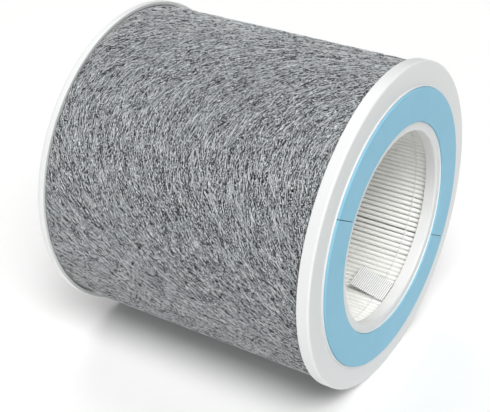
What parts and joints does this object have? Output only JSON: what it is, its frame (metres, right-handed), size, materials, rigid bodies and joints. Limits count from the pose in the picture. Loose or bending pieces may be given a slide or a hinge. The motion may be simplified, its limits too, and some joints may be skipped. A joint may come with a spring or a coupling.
{
  "type": "air purifier filter",
  "caption": "Cylindrical air filter: pleated media inside carbon and fabric sleeves, closed bottom cap, open top cap with split foam gasket and a pull tab in the bore.",
  "frame": {"origin": "centre of the bottom cap's underside, on the filter's axis", "axes": "+Z along the axis from the closed bottom cap to the open, gasketed top cap"},
  "size_m": [0.216, 0.216, 0.2037],
  "materials": {
    "end_cap": "smooth satin white moulding",
    "gasket": "matte closed-cell foam, light blue",
    "prefilter": "grey nonwoven of fine light and dark fibres",
    "carbon": "black carbon cloth",
    "paper": "off-white pleated filter paper",
    "glue": "milky set adhesive",
    "webbing": "white ribbed woven webbing"
  },
  "bodies": {
    "root": {"top_end_cap": "end_cap", "bottom_end_cap": "end_cap", "gasket_half_a": "gasket", "gasket_half_b": "gasket", "prefilter_wrap": "prefilter", "carbon_layer": "carbon", "pleated_media": "paper", "top_glue_bed": "glue", "bottom_glue_bed": "glue", "glue_bead_1": "glue", "glue_bead_2": "glue", "glue_bead_3": "glue", "glue_bead_4": "glue", "pull_tab": "webbing"}
  },
  "joints": []
}
